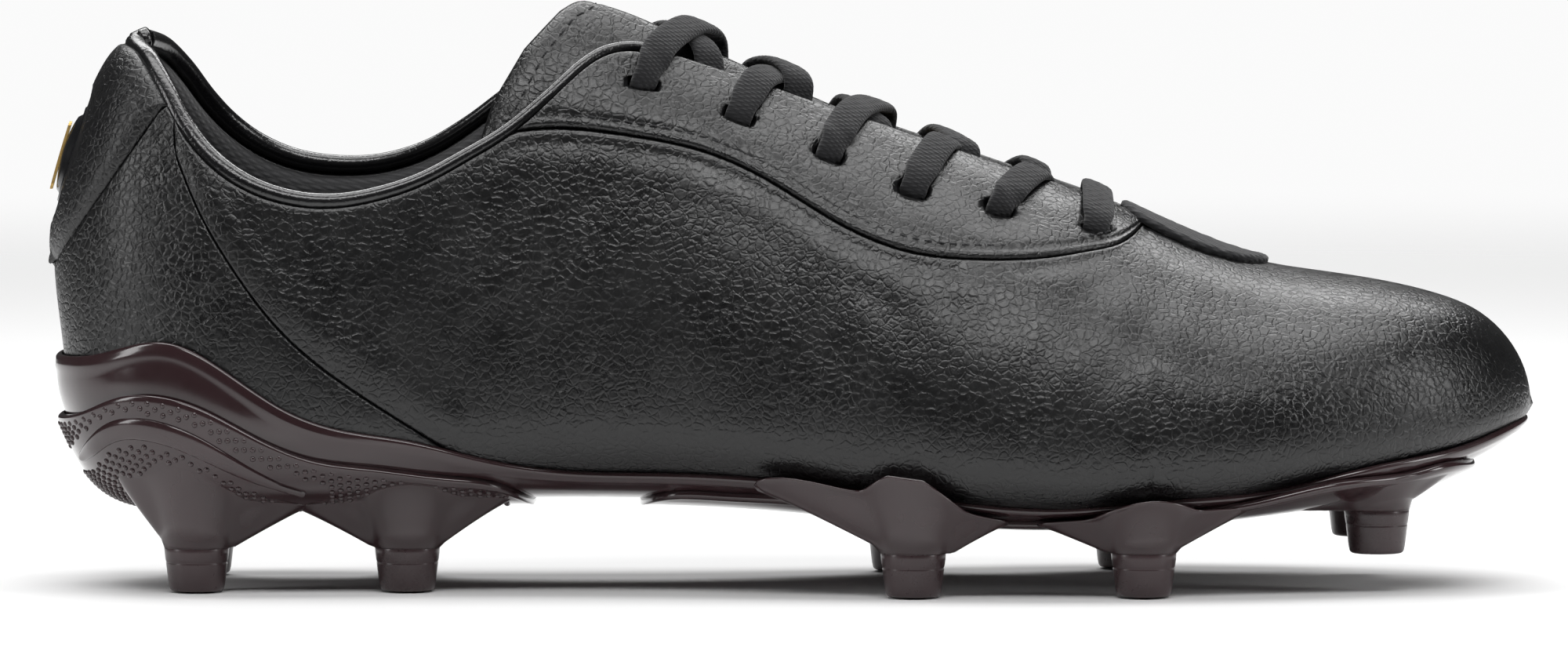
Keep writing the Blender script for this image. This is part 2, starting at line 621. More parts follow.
def wall_point(x, z, side, inset=0.0):
    """Point of the inset last at the side-view place (x, z)."""
    cy, lat, med, bottom, wide, ridge, pl, pm, low, lift = curves_at(
        np.clip(HALF + (np.asarray(x, float) - HALF) * HALF / (HALF - inset), 0.02, LENGTH - 0.02))
    half = shrink(np.where(side > 0, med, lat), inset)
    rise = shrink(ridge - wide, inset)
    power = np.where(side > 0, pm, pl)
    share = np.clip((z - wide) / rise, 0, 1)
    y = cy + side * half * (1 - share**power) ** (1 / power)
    return np.stack(np.broadcast_arrays(x, y, z), -1).astype(float)


def over_rim(p):
    return p[..., 2] > rim_z(p[..., 0]) - TUCKED


def before_heel_seam(p, shift):
    """True in front of the heel seam, where the vamp is."""
    x = p[..., 0]
    return ((p[..., 2] > heel_seam_z(x) + shift) & (x > 24)) | (x > 86)


def vamp_low(p):
    return over_rim(p) & before_heel_seam(p, 0.05)


def vamp_high(p):
    return above_collar(p) | above_eyestay_seam(p, -0.1) | in_throat(p)


def vamp_height(p, d_low, d_high):
    fade = np.clip(np.minimum(d_low, d_high) / 5, 0, 1)
    h = creases(p) * fade
    x, z = p[..., 0], p[..., 2]
    # The leather dips into the seam of the eyestay and swells gently beside it.
    along = np.clip((x - 82) / 10, 0, 1) * np.clip((207 - x) / 10, 0, 1)
    h += along * (0.35 * np.exp(-((d_high - 6) / 4) ** 2) + 0.42 * np.exp(-((d_high - 1.1) / 0.9) ** 2))
    # A soft swell behind the heel seam, where foam fills the quarter.
    h += 0.5 * np.exp(-((d_low - 7) / 5) ** 2) * (x < 80) * np.clip(d_low / 3, 0, 1)
    return h


def build_upper():
    w, side = round_toe(spaced(w_at(24) - 22, W_END, 1.5))
    panel("vamp_leather", w, side, vamp_low, vamp_high, 1.25, height=vamp_height, nodes=("vamp",))

    w, side = round_heel(spaced(0, w_at(86), 1.5))
    panel("heel_cover_leather", w, side, over_rim,
          lambda p: above_collar(p) | above_tab_seam(p) | before_heel_seam(p, -0.05), 1.25,
          height=heel_height, nodes=("heel_cover",))
    w, side = round_heel(spaced(0, 47.0, 1.0))
    panel("heel_tab_pad", w, side, above_tab_seam, lambda p: above_collar(p), 2.4, 1.1, height=tab_height,
          material=TAB, nodes=("heel_tab",))


def heel_height(p, d_low, d_high):
    x, z = p[..., 0], p[..., 2]
    fade = np.clip(np.minimum(d_low, d_high) / 4, 0, 1)
    return 0.2 * np.sin(z * 0.1 + x * 0.07) * fade


def tab_height(p, d_low, d_high):
    """The padded tab: a puffed V with a groove round it and a dimple for the badge."""
    x, y, z = p[..., 0], p[..., 1], p[..., 2]
    d = np.minimum(d_low, d_high)
    puff = 1.5 * (1 - np.exp(-np.clip(d, 0, None) / 3.2))
    seat = np.hypot(y / 7.4, (z - 82.0) / 10.6)
    puff -= 1.3 * np.clip(1.25 - seat, 0, 1) ** 0.5 * (x < 30)
    return puff


def eyestay(side, name, nodes):
    """The strip with the eyelets: a raised edge along its seam and a dip round each eyelet."""
    w = spaced(w_at(82.2), w_at(209.2), 1.15)
    sides = np.full(len(w), float(side))
    if side > 0:
        w = w[::-1]
    centres = [wall_point(x, z, side)[()] for x, z in EYELETS]

    def height(p, d_low, d_high):
        h = 0.45 * (1 - np.exp(-d_low / 2.2)) + 0.15
        h -= 0.3 * np.exp(-((d_low - 2.2) / 0.7) ** 2)
        for c in centres:
            d = np.linalg.norm(p - c, axis=-1)
            h -= 0.55 * np.exp(-(d / 4.6) ** 2)
        h += 0.10 * np.sin(p[..., 0] * 0.21) * np.sin(p[..., 2] * 0.3)
        return h

    panel(name, w, sides, lambda p: above_eyestay_seam(p, 0.15), lambda p: above_collar(p) | in_throat(p),
          3.0, 1.15, height=height, nodes=nodes, holes=centres,
          side_roll=lambda p: np.minimum(p[..., 0] - 82.0, 209.6 - p[..., 0]).clip(0))


build_upper()
eyestay(-1, "eyestay_lateral_leather", ("eyestay_lateral", "eyestay_backing_lateral"))
eyestay(1, "eyestay_medial_leather", ("eyestay_medial", "eyestay_backing_medial"))


# ---- collar piping ----
def tube(name, path, radii, material, nodes=(), ring=16, flat=None, across=None):
    """A round or flattened tube along a path, with rounded ends."""
    path = np.asarray(path, float)
    count = len(path)
    along = np.gradient(path, axis=0)
    along /= np.linalg.norm(along, axis=1, keepdims=True)
    if across is None:
        across = np.cross(along, np.array([0, 0, 1.0]))
        across /= np.linalg.norm(across, axis=1, keepdims=True)
    up = np.cross(across, along)
    turns = np.linspace(0, 2 * math.pi, ring, endpoint=False)
    radii = np.broadcast_to(radii, (count,))
    thick = radii if flat is None else np.broadcast_to(flat, (count,))
    rings, scale = [], []
    caps = (0.35, 0.7, 0.92)
    for k in caps:
        rings.append(path[0] - along[0] * thick[0] * math.sqrt(1 - k * k))
        scale.append((0, k))
    for i in range(count):
        rings.append(path[i])
        scale.append((i, 1.0))
    for k in reversed(caps):
        rings.append(path[-1] + along[-1] * thick[-1] * math.sqrt(1 - k * k))
        scale.append((count - 1, k))
    vertices = []
    for place, (i, k) in zip(rings, scale):
        for t in turns:
            c, s = math.cos(t), math.sin(t)
            vertices.append(place + across[i] * radii[i] * k * c + up[i] * thick[i] * k * s)
    obj = new_object(name, np.array(vertices), ring_faces(len(rings), ring), material)
    place_piece(obj, "boot", nodes)


def heel_back(z, inset):
    """x of the back of the inset last at height z."""
    low, high = 0.0, 60.0
    for _ in range(40):
        middle = (low + high) / 2
        q = np.array([middle, float(CENTRE_Y(middle)), z])
        if level(q, inset) > 0:
            low = middle
        else:
            high = middle
    return high


def between(four, shares):
    """Points of the centripetal curve between the middle two of four points."""
    a, b, c, d = four
    k = [0.0]
    for u, v in ((a, b), (b, c), (c, d)):
        k.append(k[-1] + max(1e-6, np.linalg.norm(v - u)) ** 0.5)
    t = (k[1] + (k[2] - k[1]) * np.asarray(shares))[:, None]
    a1 = (k[1] - t) / (k[1] - k[0]) * a + (t - k[0]) / (k[1] - k[0]) * b
    a2 = (k[2] - t) / (k[2] - k[1]) * b + (t - k[1]) / (k[2] - k[1]) * c
    a3 = (k[3] - t) / (k[3] - k[2]) * c + (t - k[2]) / (k[3] - k[2]) * d
    b1 = (k[2] - t) / (k[2] - k[0]) * a1 + (t - k[0]) / (k[2] - k[0]) * a2
    b2 = (k[3] - t) / (k[3] - k[1]) * a2 + (t - k[1]) / (k[3] - k[1]) * a3
    return (k[2] - t) / (k[2] - k[1]) * b1 + (t - k[1]) / (k[2] - k[1]) * b2


def with_ends(points):
    """The points with one more beyond each end, straight on."""
    p = np.asarray(points, float)
    return np.concatenate([[2 * p[0] - p[1]], p, [2 * p[-1] - p[-2]]])


def spline_path(points, step=1.0):
    """Even samples of a centripetal curve through points."""
    p = with_ends(points)
    out = []
    for i in range(1, len(p) - 2):
        n = max(2, int(np.linalg.norm(p[i + 1] - p[i]) / step))
        out.append(between(p[i - 1:i + 3], np.arange(n) / n))
    return np.concatenate(out + [p[-2:-1]])


PIPING_INSET = 2.3
piping_points = []
for side, collar in ((-1, COLLAR_LATERAL), (1, COLLAR_MEDIAL)):
    centre = shifted(collar, [piping_radius(x) for x, _ in collar])
    half = [wall_point(x, z, side, PIPING_INSET)[()] for x, z in centre[1:]]
    if side < 0:
        z = centre[0][1]
        piping_points = half[::-1] + [np.array([heel_back(z, PIPING_INSET), 0.0, z])]
    else:
        piping_points += half
piping = spline_path(piping_points, 1.2)
# A rolled edge over a strip that runs down to the lining: thick at the heel, slim at the front.
tube("collar_piping_cord", piping, piping_radius(piping[:, 0]), PIPING, ("collar_piping",), 20)


# ---- inside: collar pad, lining, sockliner ----
COLLAR_INSET = 3.4
band_low = line([(-8, 66), (12, 66), (28, 58), (42, 52), (58, 51), (75, 55), (95, 66), (110, 76)])


def build_collar_pad():
    """The padded collar, a closed shell seen from inside the boot."""
    w, side = round_heel(spaced(0, w_at(104), 1.6))
    low = turn_to(w, side, -0.9, math.pi / 2, lambda p: p[..., 2] > band_low(p[..., 0]), COLLAR_INSET)
    high = turn_to(w, side, -0.9, math.pi / 2, lambda p: above_collar(p, 1.4), COLLAR_INSET)
    low = np.minimum(low, high)
    p, nn, d_low, d_high = resample(w, side, low, high, COLLAR_INSET, (0, 0.6, 1.5, 3),
                                    (0, 0.3, 0.8, 1.6, 3), 1.7)
    reach = np.clip((d_low + d_high) / 22, 0.05, 1)
    # From the top edge the pad thickens over 6 mm, stays full, and tapers out at the bottom.
    top_rise = np.sqrt(np.clip(1 - (1 - np.clip(d_high / 5.5, 0, 1)) ** 2, 0, 1))
    low_rise = np.sin(np.clip(d_low / 12.0, 0, 1) * math.pi / 2) ** 1.3
    thick = 0.7 + 5.0 * top_rise * low_rise * reach
    front = np.clip((106 - p[..., 0]) / 26, 0, 1)
    thick = 0.6 + (thick - 0.6) * np.clip(front, 0.08, 1)
    obj = new_object("collar_pad", *slab_mesh(p, p - nn * thick[..., None]), LINING)
    place_piece(obj, "boot", ("collar_foam", "collar_lining"))


build_collar_pad()


def build_lining():
    def low(p):
        return p[..., 2] > BOTTOM_AT(p[..., 0]) + 9

    def high(p):
        x = p[..., 0]
        return above_collar(p, 1.2) | (above_eyestay_seam(p, 0.5) & (x > 86)) | in_throat(p, 6.0)

    w, side = round_toe(spaced(0, W_END, 2.4))
    inset = 2.6
    lo = turn_to(w, side, -1.4, math.pi / 2, low, inset)
    hi = turn_to(w, side, -1.4, math.pi / 2, high, inset)
    lo = np.minimum(lo, hi)
    p, nn, _, _ = resample(w, side, lo, hi, inset, (0, 0.8), (0, 0.8), 2.4)
    inner = p - nn * 0.75
    vertices, faces = slab_mesh(p, inner, ends=(False, False))
    obj = new_object("lining_sock", vertices, faces, LINING)
    place_piece(obj, "boot", ("quarter_lining", "vamp_lining", "quarter_foam"))


def BOTTOM_AT(x):
    return curves_at(np.clip(x, 0.5, LENGTH - 0.5))[3]


def build_sockliner():
    def high(p):
        return p[..., 2] > BOTTOM_AT(np.clip(p[..., 0], 12, LENGTH - 8)) + 10.5

    w, side = round_toe(spaced(0, W_END, 2.4))
    lo = np.full(w.shape, -math.pi / 2)
    hi = turn_to(w, side, -1.5, 1.2, high, 5.4)
    p, nn, _, d_high = resample(w, side, lo, hi, 5.4, (0,), (0, 0.3, 0.8, 1.6, 3), 2.6)
    thick = 0.5 + 2.9 * np.sqrt(np.clip(d_high / 9, 0, 1))
    inner = p - nn * thick[..., None]
    vertices, faces = slab_mesh(p, inner, ends=(False, False), sides=(False, True))
    obj = new_object("sockliner_pad", vertices, faces, SOCK, merge=2e-5)
    place_piece(obj, "sockliner", ("sockliner",))


build_lining()
build_sockliner()


# ---- sole ----
def build_chassis():
    w, side = round_toe(spaced(0, W_END, 1.6))
    lo = np.full(w.shape, -math.pi / 2)
    hi = turn_to(w, side, -1.5, 1.0, lambda p: p[..., 2] > rim_z(p[..., 0]), -1.8)
    p, nn, _, d_high = resample(w, side, lo, hi, -1.8, (0,), EDGE, 1.8)
    h = rolled(d_high, 0.7)
    # A fine bead follows the rim, and the shell thins towards it.
    h += 0.22 * np.exp(-((d_high - 1.9) / 0.55) ** 2) - 0.45 * np.clip(1 - d_high / 7, 0, 1)
    outer = p + nn * h[..., None]
    inner = p - nn * 1.65
    vertices, faces = slab_mesh(outer, inner, ends=(False, False), sides=(False, True))
    obj = new_object("sole_chassis", vertices, faces, SOLE, merge=2e-5)
    place_piece(obj, "boot", ("outsole_chassis",))


STUDS = ((28.1, -22, 0, 9, 16), (68.2, -21, 0, 16, 14), (27.5, 21, 0, 9, 16), (67.0, 19, 0, 16, 14),
         (164.5, -36, 0, 24, 12), (208.2, -35.5, 0, 14, 14), (253.0, -20.5, 7.1, 13, 8),
         (162.5, 29, 0, 24, 12), (206.5, 36, 0, 14, 14), (251.5, 24, 7.1, 13, 8))


PLATE_OUT = -3.3            # the plates' outer face lies this far outside the last
STUD_ROOT, STUD_TOP, FLARE = 6.2, 8.2, 11.2
SKIRT_SEGMENTS, SKIRT_RINGS = 128, 15


def bottom_z(x, y, inset):
    """Height of the inset last's underside at a plan point."""
    s = np.clip(HALF + (x - HALF) * HALF / (HALF - inset), 0.02, LENGTH - 0.02)
    cy, lat, med, bottom, wide, ridge, pl, pm, low, lift = curves_at(s)
    half = shrink(np.where(y > cy, med, lat), inset)
    share = np.clip(np.abs(y - cy) / half, 0, 1)
    return wide - shrink(wide - bottom, inset) * (1 - share**low) ** (1 / low)


def half_plate(x, y, inset):
    s = np.clip(HALF + (x - HALF) * HALF / (HALF - inset), 0.02, LENGTH - 0.02)
    cy, lat, med = curves_at(s)[:3]
    return cy, shrink(np.where(y > cy, med, lat), inset)


def skirt_reach(turns, rear, front):
    """How far a flare reaches from its stud's axis in each direction."""
    reach = FLARE + (STUD_ROOT + front - FLARE) * np.exp(-(np.angle(np.exp(1j * turns)) / 0.27) ** 2)
    reach += (STUD_ROOT + rear - FLARE) * np.exp(-(np.angle(np.exp(1j * (turns - math.pi))) / 0.27) ** 2)
    return np.maximum(reach, 8.5)


def skirt(x, y, lift, rear, front):
    """The flare that carries a stud, drawn out into a fin towards the heel and another to the toe."""
    segments, rings = SKIRT_SEGMENTS, SKIRT_RINGS
    turns = np.linspace(0, 2 * math.pi, segments, endpoint=False)
    root = lift + STUD_TOP
    reach = skirt_reach(turns, rear, front)
    ahead = np.exp(-(np.sin(turns) / 0.42) ** 2)
    power = 2.3 - 1.15 * ahead
    vertices = []
    for k in range(rings):
        t = k / (rings - 1)
        r = STUD_ROOT + (reach - STUD_ROOT) * t
        px, py = x + r * np.cos(turns), y + r * np.sin(turns)
        # Stay on the plate where the flare would run past its side.
        cy, half = half_plate(px, py, PLATE_OUT)
        py = np.clip(py, cy - 0.965 * half, cy + 0.965 * half)
        top = bottom_z(px, py, PLATE_OUT)
        base = bottom_z(np.full(segments, float(x)), np.full(segments, float(y)), PLATE_OUT)
        z = top - (base - root) * (1 - t) ** power + 0.12 * t if k else np.full(segments, root)
        vertices.append(np.stack([px, py, np.maximum(z, root)], -1))
    vertices.append(vertices[-1] + [0, 0, 0.35])
    return np.concatenate(vertices)


def build_plate(name, node, w, side, lip, studs):
    """The plate under the heel or forefoot: a shell with a crisp lip, and a skirt at each stud."""
    lo = np.full(w.shape, -math.pi / 2)
    hi = turn_to(w, side, -math.pi / 2, 1.0, lambda p: p[..., 2] > lip(p[..., 0]), PLATE_OUT)
    p, nn, _, d_high = resample(w, side, lo, hi, PLATE_OUT, (0,), EDGE, 1.6)
    h = rolled(d_high, 0.6) + 0.12 * np.exp(-((d_high - 1.4) / 0.5) ** 2)
    vertices, faces = slab_mesh(p + nn * h[..., None], p - nn * 1.4, sides=(False, True))
    for stud in studs:
        faces += ring_faces(SKIRT_RINGS + 1, SKIRT_SEGMENTS, offset=len(vertices))
        vertices = np.concatenate([vertices, skirt(*stud)])
    obj = new_object(name, vertices, faces, SOLE, merge=2e-6)
    place_piece(obj, "boot", (node,))


def plate_end(lip, inside, outside):
    """Where a plate's lip runs out at the middle of the sole."""
    for _ in range(40):
        middle = (inside + outside) / 2
        if lip(middle) > bottom_z(middle, float(CENTRE_Y(middle)), PLATE_OUT):
            inside = middle
        else:
            outside = middle
    return inside


def build_plates():
    heel_end = plate_end(heel_lip_z, 80, 96)
    w = np.concatenate([np.arange(0, w_at(84), 1.5), np.linspace(w_at(84), w_at(heel_end), 24)])
    build_plate("heel_plate", "heel_stud_plate", *round_heel(w), heel_lip_z, STUDS[:4])
    fore_end = plate_end(fore_lip_z, 118, 108)
    w = np.arange(w_at(118) + 1, W_END, 1.5)
    w = np.concatenate([np.linspace(w_at(fore_end), w_at(118), 24), w, [W_END]])
    build_plate("forefoot_plate", "forefoot_stud_plate", *round_toe(w), fore_lip_z, STUDS[4:])


def build_studs():
    """Each stud tip is turned about its upright axis from (radius, height) points."""
    turns = [2 * math.pi * k / 40 for k in range(40)]
    for number, (x, y, lift, _, _) in enumerate(STUDS, 1):
        profile = [(0.6, 0.0), (3.0, 0.0), (4.2, 0.02)]
        profile += [(4.4 + 0.85 * math.sin(a), 0.85 - 0.85 * math.cos(a)) for a in np.linspace(0.15, 1.45, 6)]
        for z in (1.4, 2.4, 3.4, 4.4, 5.1):
            profile.append((5.22 + 0.122 * z, z))
        profile += [(5.87, 5.35), (5.80, 5.5), (5.89, 5.68), (6.0, 6.2), (6.13, 7.2), (6.2, 8.15),
                    (6.05, 8.5), (5.0, 8.7), (2.0, 8.8)]
        vertices = [(x + r * math.cos(a), y + r * math.sin(a), z + lift) for r, z in profile for a in turns]
        obj = new_object(f"stud_{number}", np.array(vertices), ring_faces(len(profile), 40), STUD)
        place_piece(obj, "boot", (f"stud_tip_{number}",))


build_chassis()
build_plates()
build_studs()


DOT_RADIUS, DOT_HEIGHT, DOT_SUNK = 0.62, 0.55, 0.12


def dome_field(name, spots, normals):
    """Many small raised dots as one mesh."""
    turn = np.linspace(0, 2 * math.pi, 9)[:-1]
    rings = ((1.0, 0.0), (0.82, 0.55), (0.45, 0.9))
    vertices, faces = [], []
    for c, n in zip(spots, normals):
        t = np.cross(n, [0.3, 0.2, 1.0])
        t /= np.linalg.norm(t)
        b = np.cross(n, t)
        base = len(vertices)
        for r, h in rings:
            for a in turn:
                round_it = (t * math.cos(a) + b * math.sin(a)) * r * DOT_RADIUS
                vertices.append(c + round_it + n * (h * DOT_HEIGHT - DOT_SUNK))
        vertices.append(c + n * (DOT_HEIGHT - DOT_SUNK))
        faces += ring_faces(3, 8, caps=False, offset=base)
        faces += [(base + 16 + j, base + 16 + (j + 1) % 8, base + 24) for j in range(8)]
        faces.append(tuple(base + j for j in range(8)))
    place_piece(new_object(name, np.array(vertices), faces, SOLE))


DOT_COLUMNS, DOT_ROWS = 1.645, 1.9


def dotted_zones():
    """Staggered dots over the heel plate's sides, but not on the rib or the studs' flares."""
    spots = []
    for side in (-1.0, 1.0):
        w = np.arange(0.5, w_at(88), DOT_COLUMNS)
        sides = np.full(w.shape, side)
        lo = np.full(w.shape, -1.25)
        hi = turn_to(w, sides, -1.4, 0.9, lambda p: p[..., 2] > heel_lip_z(p[..., 0]) - 1.1, PLATE_OUT)
        fine = np.linspace(0, 1, 120)
        theta = lo[:, None] + (hi - lo)[:, None] * fine
        run = run_along(cast(w[:, None], sides[:, None], theta, PLATE_OUT), 1)
        for i in range(len(w)):
            back = run[i, -1] - ((np.arange(0, 18) + 0.5 * (i % 2)) * DOT_ROWS + 0.5)
            for b in back[back > 0]:
                spots.append(cast(w[i], side, np.interp(b, run[i], theta[i]), PLATE_OUT))
    spots = np.array(spots)
    keep = spots[:, 2] > 14.8
    # Plain round the stud flares and on the raised rib.
    for x, y, _, rear, front in STUDS[:4]:
        away = spots[:, :2] - [x, y]
        reach = skirt_reach(np.arctan2(away[:, 1], away[:, 0]), rear, front)
        keep &= np.hypot(away[:, 0], away[:, 1]) > 0.97 * reach
    keep &= rib_distance(spots) > 3.0
    spots = spots[keep]
    dome_field("heel_dots", spots, normals_of(spots, PLATE_OUT))


RIB = [(6.0, 25.0), (10.5, 29.5), (18.0, 31.4), (28.0, 28.6), (39.0, 22.8), (50.0, 18.6)]


def rib_distance(points):
    xs = np.linspace(RIB[0][0], RIB[-1][0], 80)
    pts = np.stack([xs, line(RIB)(xs)], -1)
    q = points[:, [0, 2]]
    return np.min(np.linalg.norm(q[:, None] - pts[None], axis=-1), 1)


def bottom_wall(x, z, side, inset):
    """Point of the inset last's lower wall at the side-view place (x, z), below the widest line."""
    s = np.clip(HALF + (np.asarray(x, float) - HALF) * HALF / (HALF - inset), 0.02, LENGTH - 0.02)
    cy, lat, med, bottom, wide, ridge, pl, pm, low, lift = curves_at(s)
    half = shrink(np.where(side > 0, med, lat), inset)
    rise = shrink(wide - bottom, inset)
    share = np.clip((wide - z) / rise, 0, 1)
    y = cy + side * half * (1 - share**low) ** (1 / low)
    return np.stack(np.broadcast_arrays(x, y, z), -1).astype(float)


def build_rib():
    """A plain raised rib under the heel lip, one on each side."""
    for side, name in ((-1, "heel_rib_lateral"), (1, "heel_rib_medial")):
        xs = np.linspace(RIB[0][0], RIB[-1][0], 60)
        path = np.array([bottom_wall(x, z, side, PLATE_OUT) for x, z in zip(xs, line(RIB)(xs))])
        path = spline_path(path[::3], 0.8)
        n = normals_of(path, PLATE_OUT)
        along = np.gradient(path, axis=0)
        along /= np.linalg.norm(along, axis=1, keepdims=True)
        across = np.cross(along, n)
        across /= np.linalg.norm(across, axis=1, keepdims=True)
        share = np.linspace(0, 1, len(path))
        width = 0.9 + 1.3 * np.sin(np.clip(share * 1.1, 0, 1) * math.pi) ** 0.7
        tube(name, path, width, SOLE, flat=np.full(len(path), 0.75), across=across, ring=16)


dotted_zones()
build_rib()


# ---- tongue ----
TONGUE_REAR = [(82, 86), (84.5, 93.5), (90, 103), (97, 110.8), (101.5, 114)]
TONGUE_FRONT = 207.0


def tongue_low(x):
    return np.interp(x, [82, 110, 140, 170, 207], [86, 75, 65, 60, 57])


def bend_with_tongue(obj):
    """The root stays sewn to the boot, and the rest turns with the tongue."""
    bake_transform(obj)


def build_tongue():
    """One padded tongue with a rounded edge, from its root to the ankle."""
    inset = 8.0
    # The elevation of the lower edge at each x, per side.
    xs = np.linspace(82.3, TONGUE_FRONT, 120)
    lows = {}
    for side in (-1.0, 1.0):
        s = np.full(xs.shape, side)
        lows[side] = turn_to(w_at(xs), s, 0.0, STRAIGHT_UP, lambda p: p[..., 2] > tongue_low(p[..., 0]), inset, 1)
    q = np.concatenate([-1 + np.array([0, 0.004, 0.012, 0.03, 0.055]), np.linspace(-0.92, 0.92, 61),
                        1 - np.array([0.055, 0.03, 0.012, 0.004, 0])])
    t = np.concatenate([[0, 0.002, 0.006, 0.013, 0.024], np.linspace(0.036, 1, 110)])
    side_of = np.where(q < 0, -1.0, 1.0)

    def theta_at(x, qv, side):
        low = np.interp(x, xs, lows[side])
        return low + (math.pi / 2 - low) * (1 - abs(qv))

    start_x = []
    for qv, side in zip(q, side_of):
        lo, hi = 82.3, 110.0
        for _ in range(30):
            middle = (lo + hi) / 2
            point = cast(w_at(middle), side, theta_at(middle, qv, side), inset, 1)
            below = point[2] < np.interp(middle, *np.transpose(TONGUE_REAR + [(130, 140)]))
            lo, hi = (lo, middle) if below else (middle, hi)
        start_x.append(hi)
    start_x = np.array(start_x)
    x = start_x[:, None] + (TONGUE_FRONT - start_x)[:, None] * t[None, :]
    theta = np.empty_like(x)
    for i, (qv, side) in enumerate(zip(q, side_of)):
        theta[i] = [theta_at(v, qv, side) for v in x[i]]
    sides = np.broadcast_to(side_of[:, None], x.shape)
    p = cast(w_at(x), sides, theta, inset, 1)
    n = normals_of(p, inset, 1)
    # Distance from the free edges: the two sides and the rear.
    run_t, run_q = run_along(p, 1), run_along(p)
    d = np.minimum(run_t, np.minimum(run_q, run_q[-1:] - run_q))
    half = 2.55
    share = np.clip(d / 4.2, 0, 1)
    full = half * (0.12 + 0.88 * np.sqrt(np.clip(1 - (1 - share) ** 2, 0, 1)))
    root = np.clip((p[..., 0] - 188) / 18, 0, 1)
    full *= 1 - 0.45 * root
    middle = p - n * half
    wave = 0.25 * np.sin(p[..., 0] * 0.19) * np.sin(p[..., 1] * 0.22) * np.clip(d / 6, 0, 1)
    stitch = 0.28 * np.exp(-((d - 4.6) / 0.55) ** 2)
    outer = middle + n * (full + wave - stitch)[..., None]
    inner = middle - n * (full + wave)[..., None]
    vertices, faces = slab_mesh(outer, inner)
    obj = new_object("tongue_pad", vertices, faces, UPPER)
    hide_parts("tongue_cover", "tongue_foam", "tongue_lining")
    bend_with_tongue(obj)
    return outer, n, d


tongue_outer, tongue_n, tongue_d = build_tongue()


# ---- stitches ----
def stitch_row(name, path, normals, length, gap, radius, on_tongue=False):
    """A row of stitches along a path on a surface, each a small rounded thread."""
    path = np.asarray(path, float)
    run = run_along(path)
    vertices, faces = [], []
    at, ring, sink = gap, 6, 0.05
    turns = np.linspace(0, 2 * math.pi, ring, endpoint=False)
    while at + length < run[-1]:
        spots = []
        for f, drop in ((0, -0.3), (0.12, 0.02), (0.5, 0.10), (0.88, 0.02), (1, -0.3)):
            s = at + f * length
            c = np.array([np.interp(s, run, path[:, k]) for k in range(3)])
            m = np.array([np.interp(s, run, normals[:, k]) for k in range(3)])
            m /= np.linalg.norm(m)
            spots.append((c + m * (drop - sink), m))
        d = spots[-1][0] - spots[0][0]
        d /= np.linalg.norm(d)
        base = len(vertices)
        for c, m in spots:
            b = np.cross(d, m)
            for a in turns:
                vertices.append(c + (b * math.cos(a) + m * math.sin(a)) * radius)
        faces += ring_faces(len(spots), ring, offset=base)
        at += length + gap
    obj = new_object(name, np.array(vertices), faces, THREAD)
    if on_tongue:
        bend_with_tongue(obj)
    else:
        place_piece(obj, "boot")


def side_seam(curve, side, x0, x1, offset, spacing=1.0):
    """A line on the upper's surface beside a seam drawn from the side."""
    xs = np.arange(x0, x1, spacing)
    zs = line(curve)(xs)
    pts = shifted(np.stack([xs, zs], -1), np.full(len(xs), offset))
    out = []
    for x, z in pts:
        wide = float(WIDEST(x))
        out.append(wall_point(x, z, side) if z >= wide else bottom_wall(x, z, side, 0.0))
    return np.array(out)


def seam_rows():
    for side, tag in ((-1, "lateral"), (1, "medial")):
        path = side_seam(EYESTAY_SEAM, side, 97, 206, -2.3)
        n = normals_of(path, 0)
        stitch_row(f"stitches_eyestay_{tag}", path + n * 0.25, n, 1.7, 0.7, 0.2)


def tongue_stitches():
    """A row of stitches inside the tongue's rear edge."""
    path, n = [], []
    for i in range(10, len(tongue_outer) - 10):
        j = int(np.argmin(np.abs(tongue_d[i, :40] - 4.6)))
        path.append(tongue_outer[i, j])
        n.append(tongue_n[i, j])
    path = spline_path(path[::2], 0.8)
    nearest = np.linspace(0, len(n) - 1, len(path)).astype(int)
    stitch_row("stitches_tongue", path, np.array(n)[nearest], 2.0, 1.0, 0.22, on_tongue=True)


tongue_stitches()
seam_rows()


# ---- lace ----
LACE_WIDTH, LACE_PINCHED, LACE_THICKNESS = 6.3, 5.2, 1.9
OVER, UNDER = -1.45, 4.4    # depth of the lace's middle over and under the eyestays
# Distance along, depth, width and whether it lies flat, where the lace comes out of an eyelet.
OUT_OF_EYELET = ((0, 1.3, LACE_PINCHED, False), (0.45, -0.1, LACE_PINCHED, False), (1.6, -0.85, 5.2, False),
                 (4.0, OVER, LACE_WIDTH, True))


def crown(x, y, inset=0.0, lift=0, peak=0.0):
    s = float(np.clip(HALF + (x - HALF) * HALF / (HALF - inset), 0.02, LENGTH - 0.02))
    cy, lat, med, bottom, wide, ridge, pl, pm, low, up = (float(v) for v in curves_at(np.array(s)))
    across = y - cy
    half = shrink(med if across > 0 else lat, inset)
    rise = shrink(ridge - wide, inset - lift * up)
    power = (pm if across > 0 else pl) - peak
    return wide + rise * (1 - min(1.0, abs(across) / half) ** power) ** (1 / power)


def surface_point(x, y, depth):
    slope_x = crown(x + 0.5, y) - crown(x - 0.5, y)
    slope_y = crown(x, y + 0.5) - crown(x, y - 0.5)
    n = np.array([-slope_x, -slope_y, 1.0])
    n /= np.linalg.norm(n)
    return np.array([x, y, crown(x, y)]) - depth * n, n


def centre_y(x):
    return float(CENTRE_Y(x))


def eyelet_at(row, side):
    x, z = EYELETS[row]
    return x, float(wall_point(x, z, side)[1])


def tongue_depth(x):
    slope = crown(x + 0.5, centre_y(x)) - crown(x - 0.5, centre_y(x))
    drop = crown(x, centre_y(x)) - crown(x, centre_y(x), 8.0, 1, TONGUE_PEAK)
    return drop / math.hypot(1, slope)


